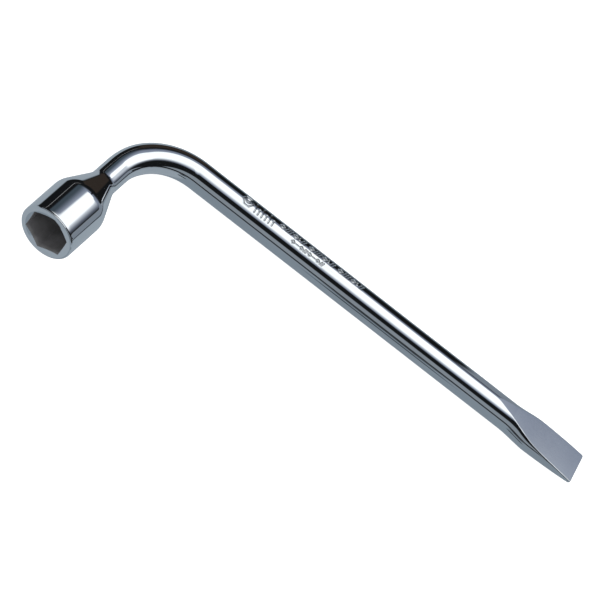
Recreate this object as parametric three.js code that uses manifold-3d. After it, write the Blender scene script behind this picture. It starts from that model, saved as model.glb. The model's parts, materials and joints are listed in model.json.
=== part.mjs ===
// L-shaped wheel-nut wrench: a round bar, bent near one end, with a forged hexagon socket
// welded on behind the bend and the other end forged flat into a pry blade.
//
// Units are millimetres. The wrench lies on the plane z = 0 with its long bar along +X, the
// blade tip at the +X end and the socket mouth looking along -Y and slightly up. It rests on
// the underside of the bar and on the socket's shoulder. The origin is the middle of its
// footprint.
//
// Everything is first built flat, in the plane of the L: the straight bar runs along +X from
// the end of the bend at (0, 0, 0), and the bend curls round to the -Y side.

import * as THREE from 'three';
import { LoftGeometry } from 'three/addons/geometries/LoftGeometry.js';
import { mergeVertices } from 'three/addons/utils/BufferGeometryUtils.js';
import Module from 'manifold-3d';

// ---- Bar and bend ----
const BAR_RADIUS = 8;
const BAR_LENGTH = 252.3; // straight bar, from the end of the bend to the blade tip
const BEND_RADIUS = 37.9; // of the bar's centre line
const BEND_ANGLE = THREE.MathUtils.degToRad(77.6);

// ---- Pry blade, measured back from its tip ----
const BLADE_TIP_THICKNESS = 1.8;
const BLADE_FACE_SLOPE = 0.135; // rise of each wide face per millimetre of length
const BLADE_RUNOUT = 14; // length over which a wide face runs out into the round bar
const BLADE_WIDTH = 20; // at its widest
const BLADE_TIP_WIDTH = 19.4;
const BLADE_WIDEST_AT = 29;
const BLADE_WIDENS_FROM = 47;

// ---- Socket head, measured from the bend along its own axis to the mouth ----
const NECK_RADIUS = 7.5;
const NECK_LENGTH = 13; // from the bend to the start of the conical shoulder
const SHOULDER_LENGTH = 19.5;
const BARREL_LENGTH = 27;
const BARREL_RADIUS = 15.8;
const RIM_CHAMFER = 1.2;
const NECK_ROUNDING = 2.9; // how far the rounding between neck and shoulder reaches
const SHOULDER_ROUNDING = 2.6; // the same between shoulder and barrel
const MOUTH = NECK_LENGTH + SHOULDER_LENGTH + BARREL_LENGTH;

// ---- Recess in the socket head, depths measured from the mouth ----
const HEX_ACROSS_FLATS = 22.2; // 22 mm nut plus the usual clearance
const HEX_DEPTH = 20;
const HEX_CLOCKING = THREE.MathUtils.degToRad(6.6);
const LEAD_IN_RADIUS = 12.9;
const LEAD_IN_DEPTH = 0.6;
const STUD_BORE_RADIUS = 7.5;
const STUD_BORE_DEPTH = 27;
const STUD_BORE_POINT = 3; // depth of the drill point at the end of the stud bore

// ---- Welded joint between socket head and bar ----
const WELD_CENTRE = 7; // distance from the bend
const GROOVE_HALF_WIDTH_OUTSIDE = 2.8;
const GROOVE_HALF_WIDTH_INSIDE = 0.8;
const SPIGOT_RADIUS = 4.5;
const SPIGOT_LENGTH = 5; // beyond the groove
const GAP = 0.3; // between solids that touch on the real tool

// ---- Mesh fineness ----
const ROUND_SIDES = 48;
const BAR_SIDES = 32; // a multiple of 4
const CORNER_STEP = 6; // of BAR_SIDES / 4: where the blade's side meets its wide face
const BEND_STEPS = 12;
const BLADE_STEPS = 12;

const wasm = await Module();
wasm.setup();

// ---- Solids ----

// A closed triangle mesh as a manifold-3d solid.
function toSolid(geometry) {
  const bare = new THREE.BufferGeometry();
  bare.setAttribute('position', geometry.attributes.position);
  bare.setIndex(geometry.index);
  const merged = mergeVertices(bare, 1e-4);
  return new wasm.Manifold(new wasm.Mesh({
    numProp: 3,
    vertProperties: new Float32Array(merged.attributes.position.array),
    triVerts: new Uint32Array(merged.index.array),
  }));
}

function toGeometry(solid) {
  const { vertProperties, triVerts } = solid.getMesh();
  const geometry = new THREE.BufferGeometry();
  geometry.setAttribute('position', new THREE.BufferAttribute(vertProperties, 3));
  geometry.setIndex(new THREE.BufferAttribute(triVerts, 1));
  geometry.computeVertexNormals();
  return geometry;
}

// A profile of [radius, distance along the axis] pairs, turned about +Y.
function turned(profile, sides = ROUND_SIDES) {
  return new THREE.LatheGeometry(profile.map(([radius, along]) => new THREE.Vector2(radius, along)), sides);
}

// Points that round off the corner between two straight runs of a profile.
function roundedCorner(before, corner, after, reach, steps) {
  const toward = (end) => {
    const run = new THREE.Vector2(end[0] - corner[0], end[1] - corner[1]);
    return run.setLength(Math.min(reach, run.length() / 2)).add(new THREE.Vector2(...corner));
  };
  const curve = new THREE.QuadraticBezierCurve(toward(before), new THREE.Vector2(...corner), toward(after));
  return curve.getPoints(steps).map((point) => [point.x, point.y]);
}

// ---- Socket head, turned about +Y with y = 0 at the bend and the mouth at y = MOUTH ----

function socketBlank() {
  const shoulderEnd = NECK_LENGTH + SHOULDER_LENGTH;
  const rear = WELD_CENTRE + GROOVE_HALF_WIDTH_INSIDE + GAP;
  const grooveEdge = [NECK_RADIUS, WELD_CENTRE + GROOVE_HALF_WIDTH_OUTSIDE + GAP];
  const shoulderStart = [NECK_RADIUS, NECK_LENGTH];
  const barrelStart = [BARREL_RADIUS, shoulderEnd];
  const spigotBoreEnd = WELD_CENTRE + GROOVE_HALF_WIDTH_INSIDE + SPIGOT_LENGTH + GAP;
  return turned([
    [0, spigotBoreEnd],
    [SPIGOT_RADIUS + GAP, spigotBoreEnd],
    [SPIGOT_RADIUS + GAP, rear],
    grooveEdge,
    ...roundedCorner(grooveEdge, shoulderStart, barrelStart, NECK_ROUNDING, 4),
    ...roundedCorner(shoulderStart, barrelStart, [BARREL_RADIUS, MOUTH], SHOULDER_ROUNDING, 4),
    [BARREL_RADIUS, MOUTH - RIM_CHAMFER],
    [BARREL_RADIUS - RIM_CHAMFER, MOUTH],
    [0, MOUTH],
  ]);
}

// The nut's recess: hexagon, conical lead-in at the mouth, and the stud's clearance bore.
function nutRecess() {
  const overrun = 1;
  const hexRadius = HEX_ACROSS_FLATS / Math.sqrt(3);
  const hexagon = new THREE.CylinderGeometry(hexRadius, hexRadius, HEX_DEPTH + overrun, 6);
  hexagon.rotateY(HEX_CLOCKING);
  hexagon.translate(0, MOUTH - (HEX_DEPTH - overrun) / 2, 0);
  const leadInSlope = (LEAD_IN_RADIUS - HEX_ACROSS_FLATS / 2) / LEAD_IN_DEPTH;
  const leadIn = turned([
    [0, MOUTH - LEAD_IN_DEPTH],
    [HEX_ACROSS_FLATS / 2, MOUTH - LEAD_IN_DEPTH],
    [LEAD_IN_RADIUS + leadInSlope * overrun, MOUTH + overrun],
    [0, MOUTH + overrun],
  ]);
  const studBore = turned([
    [0, MOUTH - STUD_BORE_DEPTH - STUD_BORE_POINT],
    [STUD_BORE_RADIUS, MOUTH - STUD_BORE_DEPTH],
    [STUD_BORE_RADIUS, MOUTH - HEX_DEPTH + overrun],
    [0, MOUTH - HEX_DEPTH + overrun],
  ]);
  return toSolid(hexagon).add(toSolid(leadIn)).add(toSolid(studBore));
}

function socketHead() {
  return toGeometry(toSolid(socketBlank()).subtract(nutRecess()));
}

// ---- Weld metal: fills the V-shaped groove round the spigot ----

function neckWeld() {
  const bore = SPIGOT_RADIUS + GAP;
  return turned([
    [bore, WELD_CENTRE - GROOVE_HALF_WIDTH_INSIDE],
    [NECK_RADIUS, WELD_CENTRE - GROOVE_HALF_WIDTH_OUTSIDE],
    [NECK_RADIUS, WELD_CENTRE + GROOVE_HALF_WIDTH_OUTSIDE],
    [bore, WELD_CENTRE + GROOVE_HALF_WIDTH_INSIDE],
    [bore, WELD_CENTRE - GROOVE_HALF_WIDTH_INSIDE],
  ]);
}

// ---- Bent shank, lofted along the bar's centre line ----

// Where the centre line is at a distance from the start of the bend. Distances below zero are
// in the neck, on the socket's axis, and those past the bend are in the straight bar.
function centreLine(distance) {
  const bendLength = BEND_RADIUS * BEND_ANGLE;
  const turn = THREE.MathUtils.clamp(BEND_ANGLE - distance / BEND_RADIUS, 0, BEND_ANGLE);
  const along = new THREE.Vector3(Math.cos(turn), Math.sin(turn), 0);
  const point = new THREE.Vector3(-BEND_RADIUS * Math.sin(turn), BEND_RADIUS * (Math.cos(turn) - 1), 0);
  const straight = Math.min(distance, 0) + Math.max(distance - bendLength, 0);
  return { point: point.addScaledVector(along, straight), along };
}

function round(distance, radius) {
  return { distance, halfWidth: radius, halfHeight: radius, halfThickness: radius };
}

// Half the thickness of the blade at a distance back from its tip.
function bladeHalfThickness(fromTip) {
  const wedge = BLADE_TIP_THICKNESS / 2 + BLADE_FACE_SLOPE * fromTip;
  const runoutDrop = (BLADE_FACE_SLOPE * BLADE_RUNOUT) / 2;
  const wedgeEnd = (BAR_RADIUS - runoutDrop - BLADE_TIP_THICKNESS / 2) / BLADE_FACE_SLOPE;
  if (fromTip <= wedgeEnd) return wedge;
  const toGo = Math.max(wedgeEnd + BLADE_RUNOUT - fromTip, 0) / BLADE_RUNOUT;
  return BAR_RADIUS - runoutDrop * toGo * toGo;
}

function bladeHalfWidth(fromTip) {
  const widening = 1 - THREE.MathUtils.smoothstep(fromTip, BLADE_WIDEST_AT, BLADE_WIDENS_FROM);
  const narrowing = Math.max(1 - fromTip / BLADE_WIDEST_AT, 0);
  return BAR_RADIUS + (BLADE_WIDTH / 2 - BAR_RADIUS) * widening
    - ((BLADE_WIDTH - BLADE_TIP_WIDTH) / 2) * narrowing;
}

// The section's outline: an ellipse across the bar with its top and bottom cut flat.
function outline({ distance, halfWidth, halfHeight, halfThickness }) {
  const { point, along } = centreLine(distance);
  const across = new THREE.Vector3(-along.y, along.x, 0);
  const quarter = BAR_SIDES / 4;
  const evenCorner = (CORNER_STEP / quarter) * (Math.PI / 2);
  const corner = Math.min(Math.asin(halfThickness / halfHeight), evenCorner);
  return Array.from({ length: BAR_SIDES }, (_, index) => {
    const step = index % quarter;
    const rising = Math.floor(index / quarter) % 2 === 0;
    const fromSide = rising ? step : quarter - step;
    const overFace = (fromSide - CORNER_STEP) / (quarter - CORNER_STEP);
    const angle = fromSide <= CORNER_STEP
      ? (corner * fromSide) / CORNER_STEP
      : THREE.MathUtils.lerp(corner, Math.PI / 2, overFace);
    const left = index > quarter && index < 3 * quarter ? -1 : 1;
    const down = index > 2 * quarter ? -1 : 1;
    return point.clone()
      .addScaledVector(across, left * halfWidth * Math.cos(angle))
      .add(new THREE.Vector3(0, 0, down * Math.min(halfHeight * Math.sin(angle), halfThickness)));
  });
}

function bentShank() {
  const bendLength = BEND_RADIUS * BEND_ANGLE;
  const tip = bendLength + BAR_LENGTH;
  const spigotRoot = -(WELD_CENTRE - GROOVE_HALF_WIDTH_INSIDE - GAP);
  const sections = [
    round(-(WELD_CENTRE + GROOVE_HALF_WIDTH_INSIDE + SPIGOT_LENGTH), SPIGOT_RADIUS),
    round(spigotRoot, SPIGOT_RADIUS),
    round(-(WELD_CENTRE - GROOVE_HALF_WIDTH_OUTSIDE - GAP), NECK_RADIUS),
    round(0, NECK_RADIUS),
  ];
  for (let step = 1; step <= BEND_STEPS; step += 1) {
    const distance = (bendLength * step) / BEND_STEPS;
    const filledOut = THREE.MathUtils.smoothstep(distance, 0, bendLength / 3);
    sections.push(round(distance, THREE.MathUtils.lerp(NECK_RADIUS, BAR_RADIUS, filledOut)));
  }
  const flatsStart = (BAR_RADIUS - BLADE_TIP_THICKNESS / 2) / BLADE_FACE_SLOPE + BLADE_RUNOUT / 2;
  for (let step = 0; step <= BLADE_STEPS; step += 1) {
    const fromTip = flatsStart * (1 - step / BLADE_STEPS);
    sections.push({
      distance: tip - fromTip,
      halfWidth: bladeHalfWidth(fromTip),
      halfHeight: BAR_RADIUS,
      halfThickness: bladeHalfThickness(fromTip),
    });
  }
  return toGeometry(toSolid(new LoftGeometry(sections.map(outline), { capStart: true, capEnd: true })));
}

// ---- Assembly ----

function piece(name, geometry, color, roughness) {
  const material = new THREE.MeshStandardMaterial({ color, roughness, metalness: 1 });
  const mesh = new THREE.Mesh(geometry, material);
  mesh.name = name;
  return mesh;
}

const head = new THREE.Group();
head.add(piece('socket_head', socketHead(), 0xc9ccd1, 0.12));
head.add(piece('neck_weld', neckWeld(), 0xbfc2c7, 0.16));
head.position.copy(centreLine(0).point);
head.rotation.z = Math.PI / 2 + BEND_ANGLE;

const flatWrench = new THREE.Group();
flatWrench.add(head, piece('bent_shank', bentShank(), 0xc9ccd1, 0.12));

// Roll about the bar until the rear end of the socket's barrel and the bar are equally low.
const barrelRear = centreLine(-(NECK_LENGTH + SHOULDER_LENGTH + SHOULDER_ROUNDING)).point;
flatWrench.rotation.x = -Math.asin((BARREL_RADIUS - BAR_RADIUS) / -barrelRear.y);

const wrench = new THREE.Group();
wrench.add(flatWrench);
wrench.updateMatrixWorld(true);
const extent = new THREE.Box3().setFromObject(wrench, true);
const middle = extent.getCenter(new THREE.Vector3());
flatWrench.position.set(-middle.x, -middle.y, -extent.min.z);

export default wrench;
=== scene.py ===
"""Looks of the L-shaped lug wrench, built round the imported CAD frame.

The wrench lies on a pale floor. Its head, weld and shank are rebuilt here as fine smooth meshes
from the same driving dimensions as the CAD solids, and they meet without a gap, as the dressed
and plated joint does. Lengths are in metres.
"""

import json
from math import asin, atan2, cos, hypot, pi, radians, sin, sqrt, tan

import bmesh
import bpy
from mathutils import Matrix, Quaternion, Vector


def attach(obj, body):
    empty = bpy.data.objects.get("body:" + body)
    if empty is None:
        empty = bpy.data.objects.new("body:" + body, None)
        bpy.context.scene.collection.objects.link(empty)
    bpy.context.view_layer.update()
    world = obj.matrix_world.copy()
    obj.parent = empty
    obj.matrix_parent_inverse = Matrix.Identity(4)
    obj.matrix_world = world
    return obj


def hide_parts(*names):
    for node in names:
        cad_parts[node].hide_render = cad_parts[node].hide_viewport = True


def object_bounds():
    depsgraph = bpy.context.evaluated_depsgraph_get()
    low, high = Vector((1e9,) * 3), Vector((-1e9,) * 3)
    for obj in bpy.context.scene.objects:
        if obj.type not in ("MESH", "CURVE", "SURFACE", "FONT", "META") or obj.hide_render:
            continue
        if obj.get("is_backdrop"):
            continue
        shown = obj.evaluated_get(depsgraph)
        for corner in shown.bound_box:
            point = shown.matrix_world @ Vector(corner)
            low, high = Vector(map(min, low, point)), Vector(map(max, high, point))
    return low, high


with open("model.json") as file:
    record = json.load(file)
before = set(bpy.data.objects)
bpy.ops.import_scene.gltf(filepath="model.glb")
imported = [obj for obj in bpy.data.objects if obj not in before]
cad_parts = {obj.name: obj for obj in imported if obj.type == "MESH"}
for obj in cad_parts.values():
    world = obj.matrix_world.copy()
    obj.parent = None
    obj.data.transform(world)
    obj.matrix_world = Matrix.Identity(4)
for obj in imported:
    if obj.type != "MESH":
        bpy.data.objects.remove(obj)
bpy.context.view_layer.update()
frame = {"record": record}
record = frame["record"]

MM = 0.001

# ---- The wrench's driving dimensions, as in the CAD source ----
BAR_RADIUS = 8 * MM
BAR_LENGTH = 252.3 * MM
BEND_RADIUS = 37.9 * MM
BEND_ANGLE = radians(77.6)
NECK_RADIUS = 7.5 * MM

BLADE_TIP_THICKNESS = 1.8 * MM
BLADE_FACE_SLOPE = 0.135
BLADE_RUNOUT = 14 * MM
BLADE_HOLLOW = 0.35 * MM
BLADE_WIDTH = 20 * MM
BLADE_TIP_WIDTH = 19.4 * MM
BLADE_WIDEST_AT = 29 * MM
BLADE_WIDENS_FROM = 47 * MM
BLADE_CROWN = 0.05 * MM
BLADE_EDGE_SOFTNESS = 0.03 * MM
BLADE_EDGE_FACET = 0.15 * MM
BLADE_FACET_TILT = radians(50)
BLADE_CORNER_RADIUS = 1.0 * MM
BLADE_SHAPED_FROM = 62 * MM
BLADE_CROWN_FROM = (44 * MM, 60 * MM)
BLADE_FACE_FROM = 46 * MM

NECK_LENGTH = 13 * MM
SHOULDER_LENGTH = 19.5 * MM
BARREL_LENGTH = 27 * MM
BARREL_RADIUS = 15.8 * MM
NECK_ROUNDING = 2.9 * MM
SHOULDER_ROUNDING = 2.6 * MM
RIM_ROUNDING = 1.2 * MM
MOUTH = NECK_LENGTH + SHOULDER_LENGTH + BARREL_LENGTH

HEX_ACROSS_FLATS = 22.2 * MM
HEX_DEPTH = 20 * MM
HEX_CLOCKING = radians(6.6)
HEX_CORNER_RADIUS = 0.5 * MM
LEAD_IN_RADIUS = 12.9 * MM
LEAD_IN_DEPTH = 0.6 * MM
LEAD_IN_SLOPE = (LEAD_IN_RADIUS - HEX_ACROSS_FLATS / 2) / LEAD_IN_DEPTH
RECESS_EDGE = 0.3 * MM
LAND_MIDDLE = 13.75 * MM
STUD_BORE_RADIUS = 7.5 * MM
STUD_BORE_DEPTH = 27 * MM
STUD_BORE_POINT = 3 * MM

WELD_CENTRE = 7 * MM
WELD_HALF_WIDTH = 2.8 * MM

# ---- Stamped marks: abstract symbols on top of the bar, measured from the end of the bend ----
STAMP_START = 23 * MM
STAMP_END = 107 * MM
STAMP_STEP = 0.19 * MM
STAMP_DEPTH = 0.4 * MM
STAMP_STROKE = 0.5 * MM
STAMP_REACH = 4.2 * MM

# ---- Where the photographer stood: view direction, roll about it, distance and lens ----
VIEW_AZIMUTH = radians(-18.70)
VIEW_ELEVATION = radians(58.03)
VIEW_ROLL = radians(53.83)
VIEW_DISTANCE = 2.0122
VIEW_TARGET = Vector((-0.01392, 0.01895, 0.008))
LENS = 234.8


def direction(azimuth, elevation):
    """The unit vector that points that way: azimuth from +X towards +Y, elevation above level."""
    level = cos(elevation)
    return Vector((level * cos(azimuth), level * sin(azimuth), sin(elevation)))


# ---- Frame: the flat L, with its bar along +X from the end of the bend, into the row frame ----

def centre_line(distance):
    """Point and direction of the bar's centre line. Distance 0 is the start of the bend, below
    zero is the socket's axis and past the bend is the straight bar."""
    bend_length = BEND_RADIUS * BEND_ANGLE
    turn = min(max(BEND_ANGLE - distance / BEND_RADIUS, 0), BEND_ANGLE)
    along = Vector((cos(turn), sin(turn), 0))
    point = Vector((-BEND_RADIUS * sin(turn), BEND_RADIUS * (cos(turn) - 1), 0))
    return point + along * (min(distance, 0) + max(distance - bend_length, 0)), along


def flat_to_row():
    """The matrix that rolls the flat L about its bar, as it rests, and puts it where the CAD is."""
    rim = next(m for m in record["mounts"] if m["name"] == "mouth_rim")
    outward = Vector(rim["axis"])
    roll = Matrix.Rotation(-asin(outward.z / sin(BEND_ANGLE)), 4, "X")
    mouth_centre = centre_line(-MOUTH)[0]
    rim_point = mouth_centre + Vector((0, 0, LAND_MIDDLE))
    return Matrix.Translation(Vector(rim["pos_m"]) - roll @ rim_point) @ roll


FLAT_TO_ROW = flat_to_row()


# ---- Mesh helpers ----

def ring_mesh(name, rings, material_of_face=None):
    """A closed mesh through rings of points, with a fan to a middle point at either end.
    material_of_face picks a face's material from its row and its column."""
    sides = len(rings[0])
    points = [FLAT_TO_ROW @ p for ring in rings for p in ring]
    faces, rows = [], []
    for row in range(len(rings) - 1):
        for i in range(sides):
            j = (i + 1) % sides
            a, b = row * sides, (row + 1) * sides
            faces.append((a + i, a + j, b + j, b + i))
            rows.append((row, i))
    for row, flip in ((0, True), (len(rings) - 1, False)):
        middle = sum((points[row * sides + i] for i in range(sides)), Vector()) / sides
        points.append(middle)
        centre = len(points) - 1
        for i in range(sides):
            j = (i + 1) % sides
            a, b = row * sides + i, row * sides + j
            faces.append((b, a, centre) if flip else (a, b, centre))
            rows.append((row, i))
    mesh = bpy.data.meshes.new(name)
    mesh.from_pydata(points, [], faces)
    for polygon, (row, column) in zip(mesh.polygons, rows):
        polygon.use_smooth = True
        if material_of_face:
            polygon.material_index = material_of_face(row, column)
    solid = bmesh.new()
    solid.from_mesh(mesh)
    bmesh.ops.recalc_face_normals(solid, faces=solid.faces)
    solid.edges.ensure_lookup_table()
    ends = {row * sides + i for row in (0, len(rings) - 1) for i in range(sides)}
    for edge in solid.edges:
        if all(vertex.index in ends for vertex in edge.verts):
            edge.smooth = False
    solid.to_mesh(mesh)
    solid.free()
    mesh.update()
    obj = bpy.data.objects.new(name, mesh)
    bpy.context.scene.collection.objects.link(obj)
    return obj


def spread(start, end, steps):
    """Evenly spaced values from start to end, both included."""
    return [start + (end - start) * i / steps for i in range(steps + 1)]


def rounded_corner(before, corner, after, reach, steps):
    """Points of a soft corner between two straight runs of a profile."""
    before, corner, after = Vector(before), Vector(corner), Vector(after)
    start = corner + (before - corner).normalized() * min(reach, (before - corner).length / 2)
    end = corner + (after - corner).normalized() * min(reach, (after - corner).length / 2)
    ts = spread(0, 1, steps)
    return [tuple(start * (1 - t) ** 2 + corner * 2 * t * (1 - t) + end * t * t) for t in ts]


# ---- Socket head ----

def head_point(radius, along, angle):
    """A point on the head: distance from its axis, distance from the bend, angle about it."""
    origin, toward_bar = centre_line(-along)
    across = Vector((-toward_bar.y, toward_bar.x, 0))
    return origin + across * (radius * cos(angle)) + Vector((0, 0, radius * sin(angle)))


def hexagon_radius(angle):
    """Distance from the axis to the recess's wall, a hexagon with slightly rounded corners."""
    sector = pi / 3
    from_flat = (angle + sector / 2) % sector - sector / 2
    apothem = HEX_ACROSS_FLATS / 2
    inner = apothem - HEX_CORNER_RADIUS
    if abs(from_flat) <= atan2(inner * tan(sector / 2), apothem):
        return apothem / cos(from_flat)
    off_corner = sector / 2 - abs(from_flat)
    centre = inner / cos(sector / 2)
    return centre * cos(off_corner) + sqrt(HEX_CORNER_RADIUS**2 - (centre * sin(off_corner)) ** 2)


def make_head():
    """The turned outside, the rim, the lead-in, the hexagon recess and the stud bore."""
    angles = spread(0, 2 * pi, 480)[:-1]
    walls = [hexagon_radius(a + HEX_CLOCKING) for a in angles]
    rear = (NECK_RADIUS, WELD_CENTRE + WELD_HALF_WIDTH)
    neck, shoulder = (NECK_RADIUS, NECK_LENGTH), (BARREL_RADIUS, NECK_LENGTH + SHOULDER_LENGTH)
    neck_curve = rounded_corner(rear, neck, shoulder, NECK_ROUNDING, 12)
    shoulder_curve = rounded_corner(neck, shoulder, (BARREL_RADIUS, MOUTH), SHOULDER_ROUNDING, 12)
    cone_start, cone_end = Vector(neck_curve[-1]), Vector(shoulder_curve[0])
    cone = [tuple(cone_start.lerp(cone_end, t)) for t in spread(0, 1, 10)[1:-1]]
    barrel_end, land_start = MOUTH - RIM_ROUNDING, BARREL_RADIUS - RIM_ROUNDING
    barrel_lengths = spread(shoulder_curve[-1][1], barrel_end, 14)[1:-1]
    barrel = [(BARREL_RADIUS, along) for along in barrel_lengths]
    rim = [
        (land_start + RIM_ROUNDING * cos(t), barrel_end + RIM_ROUNDING * sin(t))
        for t in spread(0, pi / 2, 10)
    ]
    land = [(radius, MOUTH) for radius in spread(land_start, LEAD_IN_RADIUS + 0.15 * MM, 3)[1:]]
    outside = [rear] + neck_curve + cone + shoulder_curve + barrel + rim + land
    rings = [[head_point(radius, along, a) for a in angles] for radius, along in outside]

    for t in spread(0, 1, 10):
        depths = [max(LEAD_IN_RADIUS - wall, 0) / LEAD_IN_SLOPE * t for wall in walls]
        radii = [LEAD_IN_RADIUS + (wall - LEAD_IN_RADIUS) * t for wall in walls]
        rings.append([head_point(r, MOUTH - d, a) for r, d, a in zip(radii, depths, angles)])
    plated_rows = len(rings) - 1

    for depth in (3 * MM, 6 * MM, 10 * MM, 15 * MM, HEX_DEPTH - RECESS_EDGE):
        rings.append([head_point(wall, MOUTH - depth, a) for wall, a in zip(walls, angles)])
    for inset in (RECESS_EDGE, 1.5 * MM):
        rings.append([head_point(w - inset, MOUTH - HEX_DEPTH, a) for w, a in zip(walls, angles)])
    bore_end = MOUTH - STUD_BORE_DEPTH
    for radius, along in (
        (STUD_BORE_RADIUS + RECESS_EDGE, MOUTH - HEX_DEPTH),
        (STUD_BORE_RADIUS, MOUTH - HEX_DEPTH - RECESS_EDGE),
        (STUD_BORE_RADIUS, bore_end),
        (STUD_BORE_RADIUS / 2, bore_end - STUD_BORE_POINT / 2),
        (STUD_BORE_RADIUS / 50, bore_end - STUD_BORE_POINT),
    ):
        rings.append([head_point(radius, along, a) for a in angles])
    return ring_mesh("socket_head_forging", rings, lambda row, column: int(row >= plated_rows))


# ---- Weld ----

def make_weld():
    """The dressed outside of the weld ring, flush with the head and the bar on either side."""
    angles = spread(0, 2 * pi, 240)[:-1]
    start, end = WELD_CENTRE - WELD_HALF_WIDTH, WELD_CENTRE + WELD_HALF_WIDTH
    rings = [[head_point(NECK_RADIUS, along, a) for a in angles] for along in spread(start, end, 12)]
    return ring_mesh("neck_weld_dressed", rings)


# ---- Shank ----

def smoothstep(x, low, high):
    """Rises softly from 0 at low to 1 at high."""
    t = min(max((x - low) / (high - low), 0), 1)
    return t * t * (3 - 2 * t)


def blade_half_thickness(from_tip):
    """Half the thickness: a wedge from the tip that runs out softly into the round bar."""
    wedge = BLADE_TIP_THICKNESS / 2 + BLADE_FACE_SLOPE * from_tip
    drop = BLADE_FACE_SLOPE * BLADE_RUNOUT / 2
    wedge_end = (BAR_RADIUS - drop - BLADE_TIP_THICKNESS / 2) / BLADE_FACE_SLOPE
    if from_tip <= wedge_end:
        hollow = BLADE_HOLLOW * smoothstep(from_tip, 5 * MM, 25 * MM)
        hollow *= 1 - smoothstep(from_tip, 27 * MM, 44 * MM)
        return wedge - hollow - 0.2 * MM * max(1 - from_tip / (0.25 * MM), 0) ** 2
    to_go = max(wedge_end + BLADE_RUNOUT - from_tip, 0) / BLADE_RUNOUT
    return BAR_RADIUS - drop * to_go**2


def blade_half_width(from_tip):
    """Half the width: the bar spreads as it thins, then narrows a little to rounded corners."""
    widening = 1 - smoothstep(from_tip, BLADE_WIDEST_AT, BLADE_WIDENS_FROM)
    narrowing = max(1 - from_tip / BLADE_WIDEST_AT, 0)
    grown = (BLADE_WIDTH / 2 - BAR_RADIUS) * widening
    in_corner = max(BLADE_CORNER_RADIUS - from_tip, 0)
    corner = BLADE_CORNER_RADIUS - sqrt(BLADE_CORNER_RADIUS**2 - in_corner**2)
    return BAR_RADIUS + grown - (BLADE_WIDTH - BLADE_TIP_WIDTH) / 2 * narrowing - corner


def soft_minimum(a, b, softness):
    """The smaller of two values, rounded off where they are closer than the softness."""
    overlap = max(softness - abs(a - b), 0) / softness
    return min(a, b) - overlap**2 * softness / 4


def broken_edge(sideways, height, corner_side, corner_height, share):
    """Moves a point of the blade's section onto the small facet that breaks its long edges."""
    out, up = cos(BLADE_FACET_TILT), sin(BLADE_FACET_TILT)
    beyond = (sideways - corner_side) * out + (height - corner_height) * up + BLADE_EDGE_FACET
    cut = -soft_minimum(-beyond, 0, BLADE_EDGE_SOFTNESS) * share
    return sideways - cut * out, height - cut * up


def stroke(x0, y0, x1, y1):
    """A straight cut: its ends along the bar and a point's distance from it, in millimetres."""
    run_x, run_y = x1 - x0, y1 - y0
    length_squared = run_x**2 + run_y**2 or 1

    def distance(x, y):
        t = min(max(((x - x0) * run_x + (y - y0) * run_y) / length_squared, 0), 1)
        return hypot(x - x0 - run_x * t, y - y0 - run_y * t)
    return min(x0, x1), max(x0, x1), distance


def ring_of_strokes(x, y, radius, sides):
    """A closed outline of straight cuts with its corners on a circle."""
    corners = [(x + radius * cos(a), y + radius * sin(a)) for a in spread(0, 2 * pi, sides)]
    return [stroke(*a, *b) for a, b in zip(corners, corners[1:])]


def hatching(x, y, height, count, pitch):
    """Parallel slanted strokes, one pitch apart, the first of them through the point."""
    lean, half = 0.2 * height, height / 2
    middles = [x + pitch * i for i in range(count)]
    return [stroke(m - lean, y - half, m + lean, y + half) for m in middles]


def stamp_marks():
    """Abstract marks: a hexagon in a hexagon with a ruler's tall and short bars, a row of diamonds,
    hatching and dots, and a short second row of small diamonds, hatching and dashes."""
    marks = ring_of_strokes(27.6, 0.7, 3.1, 6) + ring_of_strokes(27.6, 0.7, 1.2, 6)
    for i in range(6):
        x = 33 + 2.3 * i
        marks.append(stroke(x, -2.6, x, 0.6 if i % 2 else 3.4))
    for i in range(3):
        x = 50 + 19 * i
        marks += ring_of_strokes(x, 1.7, 1.4, 4) + ring_of_strokes(x + 8.6, 1.7, 1.4, 4)
        marks += hatching(x + 2.8, 1.7, 2.6, 3, 1.5) + hatching(x + 13.2, 1.7, 2.6, 2, 1.5)
        marks += [stroke(x + 11.1, 2.6, x + 11.1, 2.6), stroke(x + 11.1, 0.8, x + 11.1, 0.8)]
    for i in range(4):
        x = 58.6 + 5.4 * i
        marks += ring_of_strokes(x, -2.2, 1.0, 4)
        dash = [stroke(x + 2.1, -2.2, x + 3.3, -2.2)]
        marks += hatching(x + 2.2, -2.2, 2, 2, 1.1) if i % 2 else dash
    return marks


def stamp_cut(marks, x, y):
    """How deep the stamp goes at a point of the bar's top, x and y in metres."""
    x, y, half = x / MM, y / MM, STAMP_STROKE / MM
    nearest = min((d(x, y) for low, high, d in marks if low - half < x < high + half), default=half)
    return STAMP_DEPTH * max(1 - nearest / half, 0)


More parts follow.
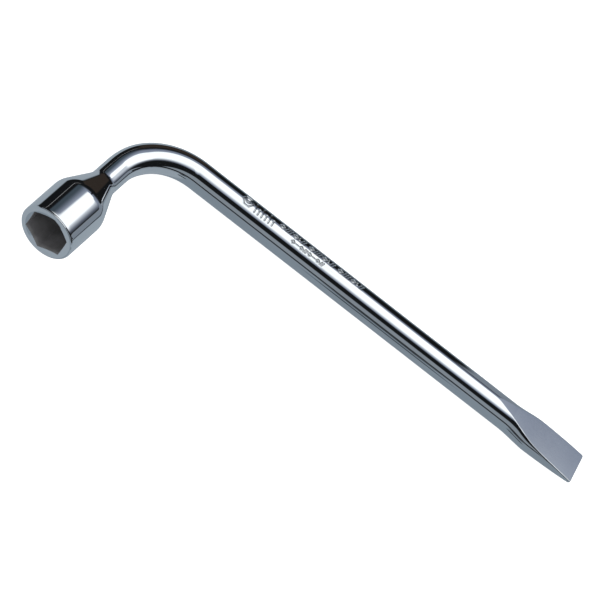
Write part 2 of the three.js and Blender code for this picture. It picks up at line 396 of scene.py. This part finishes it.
def make_shank():
    """The bar from the weld to the tip: bend, stamped handle and blade, as rings of points."""
    bend_length = BEND_RADIUS * BEND_ANGLE
    tip = bend_length + BAR_LENGTH
    stamp_start, stamp_end = bend_length + STAMP_START, bend_length + STAMP_END
    blade_start = tip - BLADE_SHAPED_FROM
    stamp_steps = round((STAMP_END - STAMP_START) / STAMP_STEP)
    stations = [-WELD_CENTRE + WELD_HALF_WIDTH, -2 * MM] + spread(0, bend_length, 60)
    stations += spread(bend_length, stamp_start, 6)[1:]
    stations += spread(stamp_start, stamp_end, stamp_steps)[1:]
    stations += spread(stamp_end, blade_start, 14)[1:]
    stations += spread(blade_start, tip - BLADE_CORNER_RADIUS, 100)[1:]
    stations += [tip - BLADE_CORNER_RADIUS * (1 - sin(t)) for t in spread(0, pi / 2, 8)][1:]

    marks = stamp_marks()
    side_steps, edge_steps, top_steps, bottom_steps = 10, 8, 24, 5
    full_corner = radians(62)
    face_steps = (top_steps, top_steps, bottom_steps, bottom_steps)
    quarter_sizes = [side_steps + edge_steps + steps for steps in face_steps]
    rings = []
    for distance in stations:
        point, along = centre_line(distance)
        across = Vector((-along.y, along.x, 0))
        from_tip = tip - distance
        filled_out = smoothstep(distance, 0, bend_length / 3)
        radius = NECK_RADIUS + (BAR_RADIUS - NECK_RADIUS) * filled_out
        half_width, thickness = radius, radius + BLADE_EDGE_SOFTNESS
        if from_tip < BLADE_SHAPED_FROM:
            half_width = blade_half_width(from_tip)
            fade = BLADE_EDGE_SOFTNESS * smoothstep(from_tip, 50 * MM, BLADE_SHAPED_FROM)
            thickness = blade_half_thickness(from_tip) + fade
        edge = asin(min(thickness / radius, 1))
        crown = BLADE_CROWN * (1 - smoothstep(from_tip, *BLADE_CROWN_FROM))
        facet = 1 - smoothstep(edge, radians(40), radians(52))
        corner = min(edge, full_corner)
        reach = min(3 * BLADE_EDGE_FACET / (radius * cos(corner)), corner / 2)
        ring = []
        for quarter, size in enumerate(quarter_sizes):
            low, high = corner - reach, corner + reach
            angles = spread(0, low, side_steps)[:-1] + spread(low, high, edge_steps)[:-1]
            angles += spread(high, pi / 2, size - side_steps - edge_steps)
            angles = angles[:-1] if quarter % 2 == 0 else angles[:0:-1]
            left = -1 if quarter in (1, 2) else 1
            down = -1 if quarter > 1 else 1
            for angle in angles:
                sideways = half_width * cos(angle)
                face = thickness - crown * (sideways / half_width) ** 2
                height = soft_minimum(radius * sin(angle), face, BLADE_EDGE_SOFTNESS)
                if facet:
                    corner_side = half_width * cos(edge)
                    corner_height = thickness - crown * cos(edge) ** 2
                    corner_place = corner_side, corner_height
                    sideways, height = broken_edge(sideways, height, *corner_place, facet)
                place = across * (left * sideways) + Vector((0, 0, down * height))
                arc = left * (pi / 2 - angle) * radius
                if down > 0 and stamp_start < distance < stamp_end and abs(arc) < STAMP_REACH:
                    place *= 1 - stamp_cut(marks, distance - bend_length, arc) / radius
                ring.append(point + place)
        rings.append(ring)

    top = quarter_sizes[0] + quarter_sizes[1]
    flat_rows = next(i for i, d in enumerate(stations) if tip - d < BLADE_FACE_FROM)

    def material_of_face(row, column):
        from_side = min(column, abs(top - column), abs(sum(quarter_sizes) - column))
        return int(row >= flat_rows and from_side >= side_steps + edge_steps)
    return ring_mesh("bent_shank_bar", rings, material_of_face)


# ---- Camera ----

def make_camera():
    """A long lens above the wrench, rolled so that the wrench lies across the picture."""
    data = bpy.data.cameras.new("camera")
    data.lens = LENS
    data.sensor_width = 36
    camera = bpy.data.objects.new("camera", data)
    bpy.context.scene.collection.objects.link(camera)
    back = direction(VIEW_AZIMUTH - pi / 2, VIEW_ELEVATION)
    camera.rotation_mode = "QUATERNION"
    upright = (-back).to_track_quat("-Z", "Y")
    camera.rotation_quaternion = upright @ Quaternion((0, 0, 1), VIEW_ROLL)
    camera.location = VIEW_TARGET + back * VIEW_DISTANCE
    bpy.context.scene.camera = camera


make_camera()
head, weld, shank = make_head(), make_weld(), make_shank()


# ---- Shader helpers ----

def plug(tree, socket, value):
    """Joins an input to another node's output, or sets it to a plain value."""
    if isinstance(value, bpy.types.NodeSocket):
        tree.links.new(value, socket)
    else:
        socket.default_value = value


def add(tree, kind, inputs, **settings):
    """A new node with its settings and its inputs, given by name or by position."""
    node = tree.nodes.new(kind)
    for name, value in settings.items():
        setattr(node, name, value)
    for key, value in inputs.items():
        plug(tree, node.inputs[key], value)
    return node


def maths(tree, operation, a, b=0.0):
    return add(tree, "ShaderNodeMath", {0: a, 1: b}, operation=operation).outputs[0]


def remap(tree, value, low, high, to_low=0.0, to_high=1.0, smooth=False):
    inputs = {"Value": value, "From Min": low, "From Max": high, "To Min": to_low, "To Max": to_high}
    kind = "SMOOTHSTEP" if smooth else "LINEAR"
    return add(tree, "ShaderNodeMapRange", inputs, interpolation_type=kind).outputs["Result"]


def mix(tree, share, a, b):
    """The colour a where share is 0, b where it is 1."""
    node = add(tree, "ShaderNodeMix", {}, data_type="RGBA")
    plug(tree, node.inputs["Factor"], share)
    plug(tree, next(s for s in node.inputs if s.identifier == "A_Color"), a)
    plug(tree, next(s for s in node.inputs if s.identifier == "B_Color"), b)
    return next(s for s in node.outputs if s.identifier == "Result_Color")


def dot(tree, vector, axis):
    inputs = {0: vector, 1: tuple(axis)}
    return add(tree, "ShaderNodeVectorMath", inputs, operation="DOT_PRODUCT").outputs["Value"]


def noise(tree, vector, scale, detail=2.0, roughness=0.5):
    inputs = {"Vector": vector, "Scale": scale, "Detail": detail, "Roughness": roughness}
    return add(tree, "ShaderNodeTexNoise", inputs).outputs["Fac"]


def drawn_out(tree, axis, per_metre_along, per_metre_across):
    """Object coordinates scaled differently along an axis and across it, which draws noise out
    into lines along the axis or into rings round it."""
    place = add(tree, "ShaderNodeTexCoord", {}).outputs["Object"]
    axis = Vector(axis).normalized()
    side = axis.orthogonal().normalized()
    scales = ((axis, per_metre_along), (side, per_metre_across), (axis.cross(side), per_metre_across))
    parts = [maths(tree, "MULTIPLY", dot(tree, place, way), scale) for way, scale in scales]
    return add(tree, "ShaderNodeCombineXYZ", dict(zip("XYZ", parts))).outputs["Vector"]


# ---- Materials ----

PLATING = (0.78, 0.80, 0.82, 1)
PLATING_SHADE = (0.73, 0.745, 0.765, 1)
RECESS_STEEL = (0.15, 0.15, 0.158, 1)
RECESS_STAIN = (0.10, 0.10, 0.102, 1)
CARD = (0.45, 0.45, 0.45, 1)
CARD_SHADE = (0.43, 0.43, 0.43, 1)
CARD_GLOW = 0.7


def new_material(name):
    material = bpy.data.materials.new(name)
    material.use_nodes = True
    tree = material.node_tree
    tree.nodes.clear()
    shader = add(tree, "ShaderNodeBsdfPrincipled", {})
    add(tree, "ShaderNodeOutputMaterial", {"Surface": shader.outputs[0]})
    return material, tree, shader


def chrome(name, axis, per_metre_along, per_metre_across, line_height, low, high):
    """Bright chrome over polished steel: fine polishing lines, a faint swell that wavers the
    reflections, hazy patches in the gloss and a slightly duller tint in places. low and high
    are the roughness where it is most and least bright."""
    material, tree, shader = new_material(name)
    place = add(tree, "ShaderNodeTexCoord", {}).outputs["Object"]
    haze = noise(tree, place, 45, 4)
    lines = noise(tree, drawn_out(tree, axis, per_metre_along, per_metre_across), 1, 3, 0.65)
    fine = remap(tree, lines, 0.35, 0.7)
    haze_share = maths(tree, "MULTIPLY", haze, 0.6)
    dullness = maths(tree, "ADD", haze_share, maths(tree, "MULTIPLY", fine, 0.4))
    tint = mix(tree, remap(tree, haze, 0.35, 0.75), PLATING, PLATING_SHADE)
    plug(tree, shader.inputs["Base Color"], tint)
    shader.inputs["Metallic"].default_value = 1
    plug(tree, shader.inputs["Roughness"], remap(tree, dullness, 0.3, 0.7, low, high))
    swell = {"Height": noise(tree, place, 70, 1), "Distance": 0.00004, "Strength": 0.5}
    wave = add(tree, "ShaderNodeBump", swell).outputs[0]
    cut = {"Height": lines, "Distance": line_height, "Strength": 0.5, "Normal": wave}
    plug(tree, shader.inputs["Normal"], add(tree, "ShaderNodeBump", cut).outputs[0])
    return material


def bare_steel(name, axis):
    """The recess, where plating doesn't reach: dull dark steel with broaching lines and stains."""
    material, tree, shader = new_material(name)
    place = add(tree, "ShaderNodeTexCoord", {}).outputs["Object"]
    lines = noise(tree, drawn_out(tree, axis, 60, 1400), 1, 3, 0.6)
    stain = noise(tree, place, 140, 4, 0.6)
    colour = mix(tree, remap(tree, stain, 0.35, 0.7), RECESS_STEEL, RECESS_STAIN)
    plug(tree, shader.inputs["Base Color"], colour)
    shader.inputs["Metallic"].default_value = 0.2
    plug(tree, shader.inputs["Roughness"], remap(tree, lines, 0.3, 0.7, 0.42, 0.62))
    cut = {"Height": lines, "Distance": 0.00004, "Strength": 0.5}
    plug(tree, shader.inputs["Normal"], add(tree, "ShaderNodeBump", cut).outputs[0])
    return material


def floor_card():
    """Matt off-white card with a barely visible fibre."""
    material, tree, shader = new_material("floor_card")
    place = add(tree, "ShaderNodeTexCoord", {}).outputs["Object"]
    fibre = noise(tree, place, 900, 3)
    plug(tree, shader.inputs["Base Color"], mix(tree, fibre, CARD, CARD_SHADE))
    shader.inputs["Roughness"].default_value = 0.95
    shader.inputs["Specular IOR Level"].default_value = 0.1
    shader.inputs["Emission Color"].default_value = PALE
    shader.inputs["Emission Strength"].default_value = CARD_GLOW
    return material


head_axis = FLAT_TO_ROW.to_3x3() @ -centre_line(0)[1]
head.data.materials.append(chrome("head_chrome", head_axis, 5000, 120, 0.000002, 0.015, 0.045))
head.data.materials.append(bare_steel("recess_bare_steel", head_axis))
weld.data.materials.append(chrome("weld_chrome", head_axis, 2500, 90, 0.000005, 0.02, 0.07))
shank.data.materials.append(chrome("shank_chrome", (1, 0, 0), 60, 1800, 0.000003, 0.015, 0.045))
shank.data.materials.append(chrome("blade_face_chrome", (1, 0, 0), 90, 2400, 0.000006, 0.08, 0.14))

for piece, node, finish in (
    (head, "socket_head", "head_chrome"),
    (weld, "neck_weld", "weld_chrome"),
    (shank, "bent_shank", "shank_chrome"),
):
    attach(piece, "root")
    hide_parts(node)

# ---- Lights: soft white light for the floor, and the studio that the chrome reflects ----

PALE = (1.2, 1.2, 1.2, 1)
SOFTBOX = (1.33, 1.38, 1.40, 1)
SOFTBOX_FRINGE = (0.262, 0.30, 0.385, 1)
FRINGE_END = (0.058, 0.08, 0.1, 1)
BLACK_CLOTH = (0.0085, 0.0095, 0.0105, 1)
ROOM = (0.265, 0.30, 0.335, 1)
TABLE = (0.36, 0.415, 0.465, 1)
TABLE_SHADOW = (0.25, 0.30, 0.345, 1)
SLIT = (0.32, 0.32, 0.32, 1)
GREY_CARD = (0.23, 0.265, 0.31, 1)
BROWN_CARD = (0.036, 0.028, 0.023, 1)
DARK_STRIP = (0.012, 0.014, 0.016, 1)
FLOOR_GAP = 0.1 * MM


def studio():
    """The surroundings by direction, as the plating reflects them: a soft overhead panel with a
    dim fringe, black cloth with a narrow lit slit, a blue-grey room and a pale table front in part
    shadow. Every other kind of light sees an even white. The panel, fringe and cloth end at the
    planes given to beyond. Their directions and some of their edges are an optimiser's fit to the
    main view, and the rest was set one by one."""
    world = bpy.data.worlds.new("studio")
    world.use_nodes = True
    bpy.context.scene.world = world
    tree = world.node_tree
    tree.nodes.clear()
    way = add(tree, "ShaderNodeTexCoord", {}).outputs["Generated"]

    def rising(value, start, end):
        return remap(tree, value, start, end, smooth=True)

    def band(value, middle, half_width, softness):
        """1 within half_width of the middle, feathered outside it."""
        away = maths(tree, "ABSOLUTE", maths(tree, "SUBTRACT", value, middle))
        return remap(tree, away, half_width, half_width + softness, 1, 0, smooth=True)

    def beyond(azimuth, elevation, edge, softness, slide=0.0):
        """1 for directions further along the given one than the edge, feathered across the edge.
        The edge slides by the given amount where the bar's far half looks."""
        ahead = dot(tree, way, direction(radians(azimuth), radians(elevation)))
        reach = maths(tree, "SUBTRACT", ahead, maths(tree, "MULTIPLY", far_half, slide))
        return rising(reach, edge - softness, edge + softness)

    def all_of(*shares):
        share = shares[0]
        for other in shares[1:]:
            share = maths(tree, "MULTIPLY", share, other)
        return share

    along = dot(tree, way, (1, 0, 0))
    height = dot(tree, way, (0, 0, 1))
    far_half = all_of(rising(along, 0.15, 0.205), band(along, 0.0, 0.23, 0.03))
    side_edges = all_of(beyond(144.1, 28.1, -0.10, 0.24), beyond(43.5, 32.2, 0.239, 0.15))
    panel = all_of(
        side_edges,
        beyond(72.5, 58.8, 0.78, 0.13, slide=-0.06),
        beyond(-94.2, 13.7, -0.445, 0.13, slide=0.17),
    )
    fringe = all_of(
        side_edges,
        beyond(72.5, 58.8, 0.61, 0.04, slide=-0.075),
        beyond(-94.2, 13.7, -0.70, 0.08, slide=0.11),
    )
    cloth = all_of(
        beyond(77.8, 52.9, 0.015, 0.04),
        beyond(139.9, 82.2, -0.187, 0.05),
        beyond(201.5, 18.3, -0.84, 0.012),
    )
    shadowed = band(along, 0.195, 0.16, 0.12)
    table = mix(tree, shadowed, TABLE, TABLE_SHADOW)
    colour = mix(tree, rising(height, -0.2, 0.06), table, ROOM)
    colour = mix(tree, band(height, 0.085, 0.07, 0.02), colour, BLACK_CLOTH)
    colour = mix(tree, cloth, colour, BLACK_CLOTH)
    slit = all_of(band(height, 0.165, 0.008, 0.008), beyond(129, 10, 0.955, 0.02))
    colour = mix(tree, slit, colour, SLIT)
    fringe_colour = mix(tree, rising(along, -0.42, -0.08), FRINGE_END, SOFTBOX_FRINGE)
    colour = mix(tree, fringe, colour, fringe_colour)
    colour = mix(tree, panel, colour, SOFTBOX)
    seen_in_gloss = add(tree, "ShaderNodeLightPath", {}).outputs["Is Glossy Ray"]
    light = mix(tree, seen_in_gloss, PALE, colour)
    background = add(tree, "ShaderNodeBackground", {"Color": light})
    add(tree, "ShaderNodeOutputWorld", {"Surface": background.outputs[0]})


def studio_card(name, low, high, colour, feather):
    """A flat card near the wrench that only its reflections show, feathered at its edges. It spans
    from low to high, and is level if they are equally high and upright if not."""
    low, high = Vector(low), Vector(high)
    upright = high.z > low.z
    size = (high.x - low.x, high.z - low.z if upright else high.y - low.y)
    mesh = bpy.data.meshes.new(name)
    solid = bmesh.new()
    bmesh.ops.create_grid(solid, x_segments=1, y_segments=1, size=0.5)
    bmesh.ops.scale(solid, vec=(size[0], size[1], 1), verts=solid.verts)
    solid.to_mesh(mesh)
    solid.free()
    card = bpy.data.objects.new(name, mesh)
    bpy.context.scene.collection.objects.link(card)
    card.location = (low + high) / 2
    card.rotation_euler.x = pi / 2 if upright else 0
    for kind in ("camera", "diffuse", "transmission", "volume_scatter", "shadow"):
        setattr(card, "visible_" + kind, False)
    material = bpy.data.materials.new(name)
    material.use_nodes = True
    tree = material.node_tree
    tree.nodes.clear()
    spot = add(tree, "ShaderNodeTexCoord", {}).outputs["Object"]
    share = 1.0
    for axis, length, soft in zip(((1, 0, 0), (0, 1, 0)), size, feather):
        off_middle = maths(tree, "ABSOLUTE", dot(tree, spot, axis))
        inside = remap(tree, off_middle, length / 2 - soft, length / 2, 1, 0, smooth=True)
        share = maths(tree, "MULTIPLY", inside, share)
    clear = add(tree, "ShaderNodeBsdfTransparent", {})
    lit = add(tree, "ShaderNodeEmission", {"Color": colour})
    blend = add(tree, "ShaderNodeMixShader", {0: share, 1: clear.outputs[0], 2: lit.outputs[0]})
    add(tree, "ShaderNodeOutputMaterial", {"Surface": blend.outputs[0]})
    mesh.materials.append(material)
    card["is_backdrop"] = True


def lamp(name, size, power, place):
    """A large soft white panel that lights the floor and doesn't show in the plating."""
    data = bpy.data.lights.new(name, "AREA")
    data.size = size
    data.energy = power
    light = bpy.data.objects.new(name, data)
    bpy.context.scene.collection.objects.link(light)
    light.location = place
    light.visible_glossy = False
    light.rotation_mode = "QUATERNION"
    light.rotation_quaternion = (-Vector(place)).to_track_quat("-Z", "Y")


def make_floor():
    """The pale floor, a hair below the wrench and left out of the plating's reflections."""
    mesh = bpy.data.meshes.new("floor")
    solid = bmesh.new()
    bmesh.ops.create_grid(solid, x_segments=8, y_segments=8, size=4)
    solid.to_mesh(mesh)
    solid.free()
    floor = bpy.data.objects.new("floor", mesh)
    bpy.context.scene.collection.objects.link(floor)
    floor.location.z = -FLOOR_GAP
    floor.visible_glossy = False
    mesh.materials.append(floor_card())
    floor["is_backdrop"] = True


studio()
# The head panel's height and near edge, and the grey card's distance, near end, top and colour,
# come from the fit that studio() describes.
for name, low, high, colour, feather in (
    ("head_panel", (-0.26, 0.118, 0.396), (0.33, 0.365, 0.396), SOFTBOX, (0.14, 0.04)),
    ("neck_panel", (-0.19, 0.23, 0.4), (0.15, 0.42, 0.4), SOFTBOX, (0.08, 0.04)),
    ("rim_card", (-0.25, -0.26, 0.14), (-0.09, -0.12, 0.14), SOFTBOX, (0.02, 0.02)),
    ("grey_card", (0.123, 0.265, -0.087), (0.623, 0.265, 0.163), GREY_CARD, (0.012, 0.012)),
    ("brown_card", (-0.185, 0.15, -0.02), (-0.07, 0.15, 0.06), BROWN_CARD, (0.015, 0.015)),
    ("upper_strip", (0.035, -0.3, -0.036), (0.16, -0.3, 0.012), DARK_STRIP, (0.05, 0.012)),
    ("lower_strip", (0.03, -0.3, -0.146), (0.165, -0.3, -0.08), DARK_STRIP, (0.04, 0.012)),
):
    studio_card(name, low, high, colour, feather)
lamp("overhead", 1.2, 3, (0.1, -0.2, 1.4))
make_floor()

scene = bpy.context.scene
scene.view_settings.view_transform = "Standard"
scene.view_settings.look = "None"
scene.view_settings.exposure = 0
scene.view_settings.gamma = 1

low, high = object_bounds()
